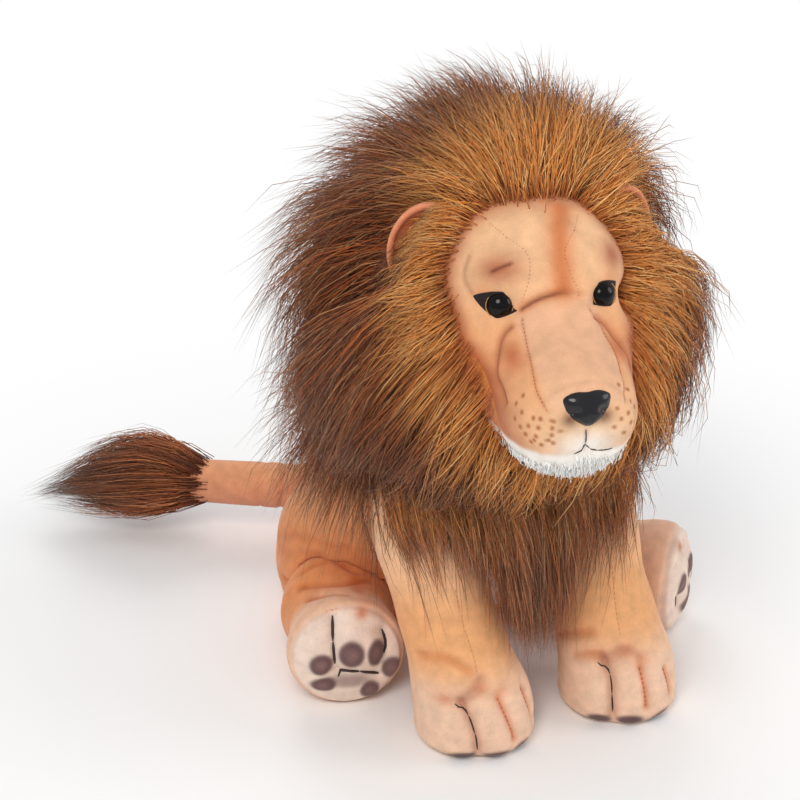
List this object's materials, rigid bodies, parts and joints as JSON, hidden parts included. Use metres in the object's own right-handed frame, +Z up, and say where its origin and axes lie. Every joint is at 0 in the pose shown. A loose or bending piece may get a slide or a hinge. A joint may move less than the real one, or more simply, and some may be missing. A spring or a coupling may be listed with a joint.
{
  "type": "plush lion toy",
  "caption": "Sitting plush lion with a long golden and dark brown mane, short orange-tan pile, glossy eyes and nose, printed paw pads and a tufted tail.",
  "frame": {"origin": "centre of the flat seat panel's underside, where the lion sits", "axes": "+Z up, the body looks along -Y, +X is the lion's left side"},
  "size_m": [0.2989, 0.4039, 0.3247],
  "materials": {
    "body_skin": "orange-tan short pile",
    "body_stuffing": "white fibre fill",
    "seat_panel": "pale cream-pink short pile",
    "belly_panel": "pale grey pile",
    "mane_collar_left": "long dark brown fur with grey-black tips",
    "mane_collar_right": "long dark brown fur with grey-black tips",
    "mane_bib": "long dark brown fur with grey-black tips",
    "neck_stuffing": "white fibre fill",
    "head_cover": "orange-tan short pile",
    "head_stuffing": "white fibre fill",
    "chin": "white fluffy pile",
    "ear_left": "salmon-orange short pile",
    "ear_right": "salmon-orange short pile",
    "eye_left": "glossy black moulded plastic",
    "eye_right": "glossy black moulded plastic",
    "eye_left_washer": "matte moulded plastic",
    "eye_right_washer": "matte moulded plastic",
    "eyelid_left": "black felt",
    "eyelid_right": "black felt",
    "nose": "glossy black moulded plastic",
    "nose_washer": "matte moulded plastic",
    "mane_front_crown": "long golden-brown fur",
    "mane_front_left": "long golden-brown fur",
    "mane_front_right": "long golden-brown fur",
    "mane_front_under": "long golden-brown fur",
    "mane_back_crown": "long dark brown fur with grey-black tips",
    "mane_back_left": "long dark brown fur with grey-black tips",
    "mane_back_right": "long dark brown fur with grey-black tips",
    "mane_back_under": "long dark brown fur with grey-black tips",
    "mane_back_nape": "long dark brown fur with grey-black tips",
    "front_leg_skin_right": "orange-tan short pile",
    "front_leg_stuffing_right": "white fibre fill",
    "front_sole_right": "pale cream-pink short pile",
    "hind_leg_skin_right": "orange-tan short pile",
    "hind_leg_stuffing_right": "white fibre fill",
    "hind_sole_right": "pale cream-pink short pile",
    "front_leg_skin_left": "orange-tan short pile",
    "front_leg_stuffing_left": "white fibre fill",
    "front_sole_left": "pale cream-pink short pile",
    "hind_leg_skin_left": "orange-tan short pile",
    "hind_leg_stuffing_left": "white fibre fill",
    "hind_sole_left": "pale cream-pink short pile",
    "tail_root_stuffing": "white fibre fill",
    "tail_skin": "orange-tan short pile",
    "tail_stuffing": "white fibre fill",
    "tail_tuft": "long dark brown fur with grey-black tips"
  },
  "bodies": {
    "torso": {"body_skin": "body_skin", "body_stuffing": "body_stuffing", "seat_panel": "seat_panel", "belly_panel": "belly_panel", "mane_collar_left": "mane_collar_left", "mane_collar_right": "mane_collar_right", "mane_bib": "mane_bib"},
    "neck": {"neck_stuffing": "neck_stuffing"},
    "head": {"head_cover": "head_cover", "head_stuffing": "head_stuffing", "chin": "chin", "ear_left": "ear_left", "ear_right": "ear_right", "eye_left": "eye_left", "eye_right": "eye_right", "eye_left_washer": "eye_left_washer", "eye_right_washer": "eye_right_washer", "eyelid_left": "eyelid_left", "eyelid_right": "eyelid_right", "nose": "nose", "nose_washer": "nose_washer", "mane_front_crown": "mane_front_crown", "mane_front_left": "mane_front_left", "mane_front_right": "mane_front_right", "mane_front_under": "mane_front_under", "mane_back_crown": "mane_back_crown", "mane_back_left": "mane_back_left", "mane_back_right": "mane_back_right", "mane_back_under": "mane_back_under", "mane_back_nape": "mane_back_nape"},
    "front_leg_right": {"front_leg_skin_right": "front_leg_skin_right", "front_leg_stuffing_right": "front_leg_stuffing_right", "front_sole_right": "front_sole_right"},
    "hind_leg_right": {"hind_leg_skin_right": "hind_leg_skin_right", "hind_leg_stuffing_right": "hind_leg_stuffing_right", "hind_sole_right": "hind_sole_right"},
    "front_leg_left": {"front_leg_skin_left": "front_leg_skin_left", "front_leg_stuffing_left": "front_leg_stuffing_left", "front_sole_left": "front_sole_left"},
    "hind_leg_left": {"hind_leg_skin_left": "hind_leg_skin_left", "hind_leg_stuffing_left": "hind_leg_stuffing_left", "hind_sole_left": "hind_sole_left"},
    "tail_root": {"tail_root_stuffing": "tail_root_stuffing"},
    "tail": {"tail_skin": "tail_skin", "tail_stuffing": "tail_stuffing", "tail_tuft": "tail_tuft"}
  },
  "joints": [
    {"name": "neck_turn", "type": "hinge", "parent": "torso", "child": "neck", "pos_m": [0, -0.09, 0.182], "axis": [0, 0, 1], "range_deg": [-10, 25], "stiffness_Nm_per_rad": 3},
    {"name": "head_nod", "type": "hinge", "parent": "neck", "child": "head", "pos_m": [0, -0.09, 0.182], "axis": [0.9863, -0.165, 0], "range_deg": [-5, 6], "stiffness_Nm_per_rad": 5},
    {"name": "front_leg_swing_right", "type": "hinge", "parent": "torso", "child": "front_leg_right", "pos_m": [-0.044, -0.106, 0.116], "axis": [-1, 0, 0], "range_deg": [-2, 20], "stiffness_Nm_per_rad": 1.5},
    {"name": "front_leg_swing_left", "type": "hinge", "parent": "torso", "child": "front_leg_left", "pos_m": [0.044, -0.106, 0.116], "axis": [-1, 0, 0], "range_deg": [-2, 20], "stiffness_Nm_per_rad": 1.5},
    {"name": "hind_leg_lift_right", "type": "hinge", "parent": "torso", "child": "hind_leg_right", "pos_m": [-0.062, -0.043, 0.0285], "axis": [-0.9563, 0.2924, 0], "range_deg": [-6, 12], "stiffness_Nm_per_rad": 1.5},
    {"name": "hind_leg_lift_left", "type": "hinge", "parent": "torso", "child": "hind_leg_left", "pos_m": [0.062, -0.043, 0.0285], "axis": [-0.6691, -0.7431, 0], "range_deg": [-6, 12], "stiffness_Nm_per_rad": 1.5},
    {"name": "tail_swing", "type": "hinge", "parent": "torso", "child": "tail_root", "pos_m": [0, 0.06818, 0.03], "axis": [0, 0, 1], "range_deg": [-120, 10], "stiffness_Nm_per_rad": 0.8},
    {"name": "tail_lift", "type": "hinge", "parent": "tail_root", "child": "tail", "pos_m": [0, 0.06818, 0.03], "axis": [0.5, 0.866, 0], "range_deg": [-2, 20], "stiffness_Nm_per_rad": 1.5}
  ]
}
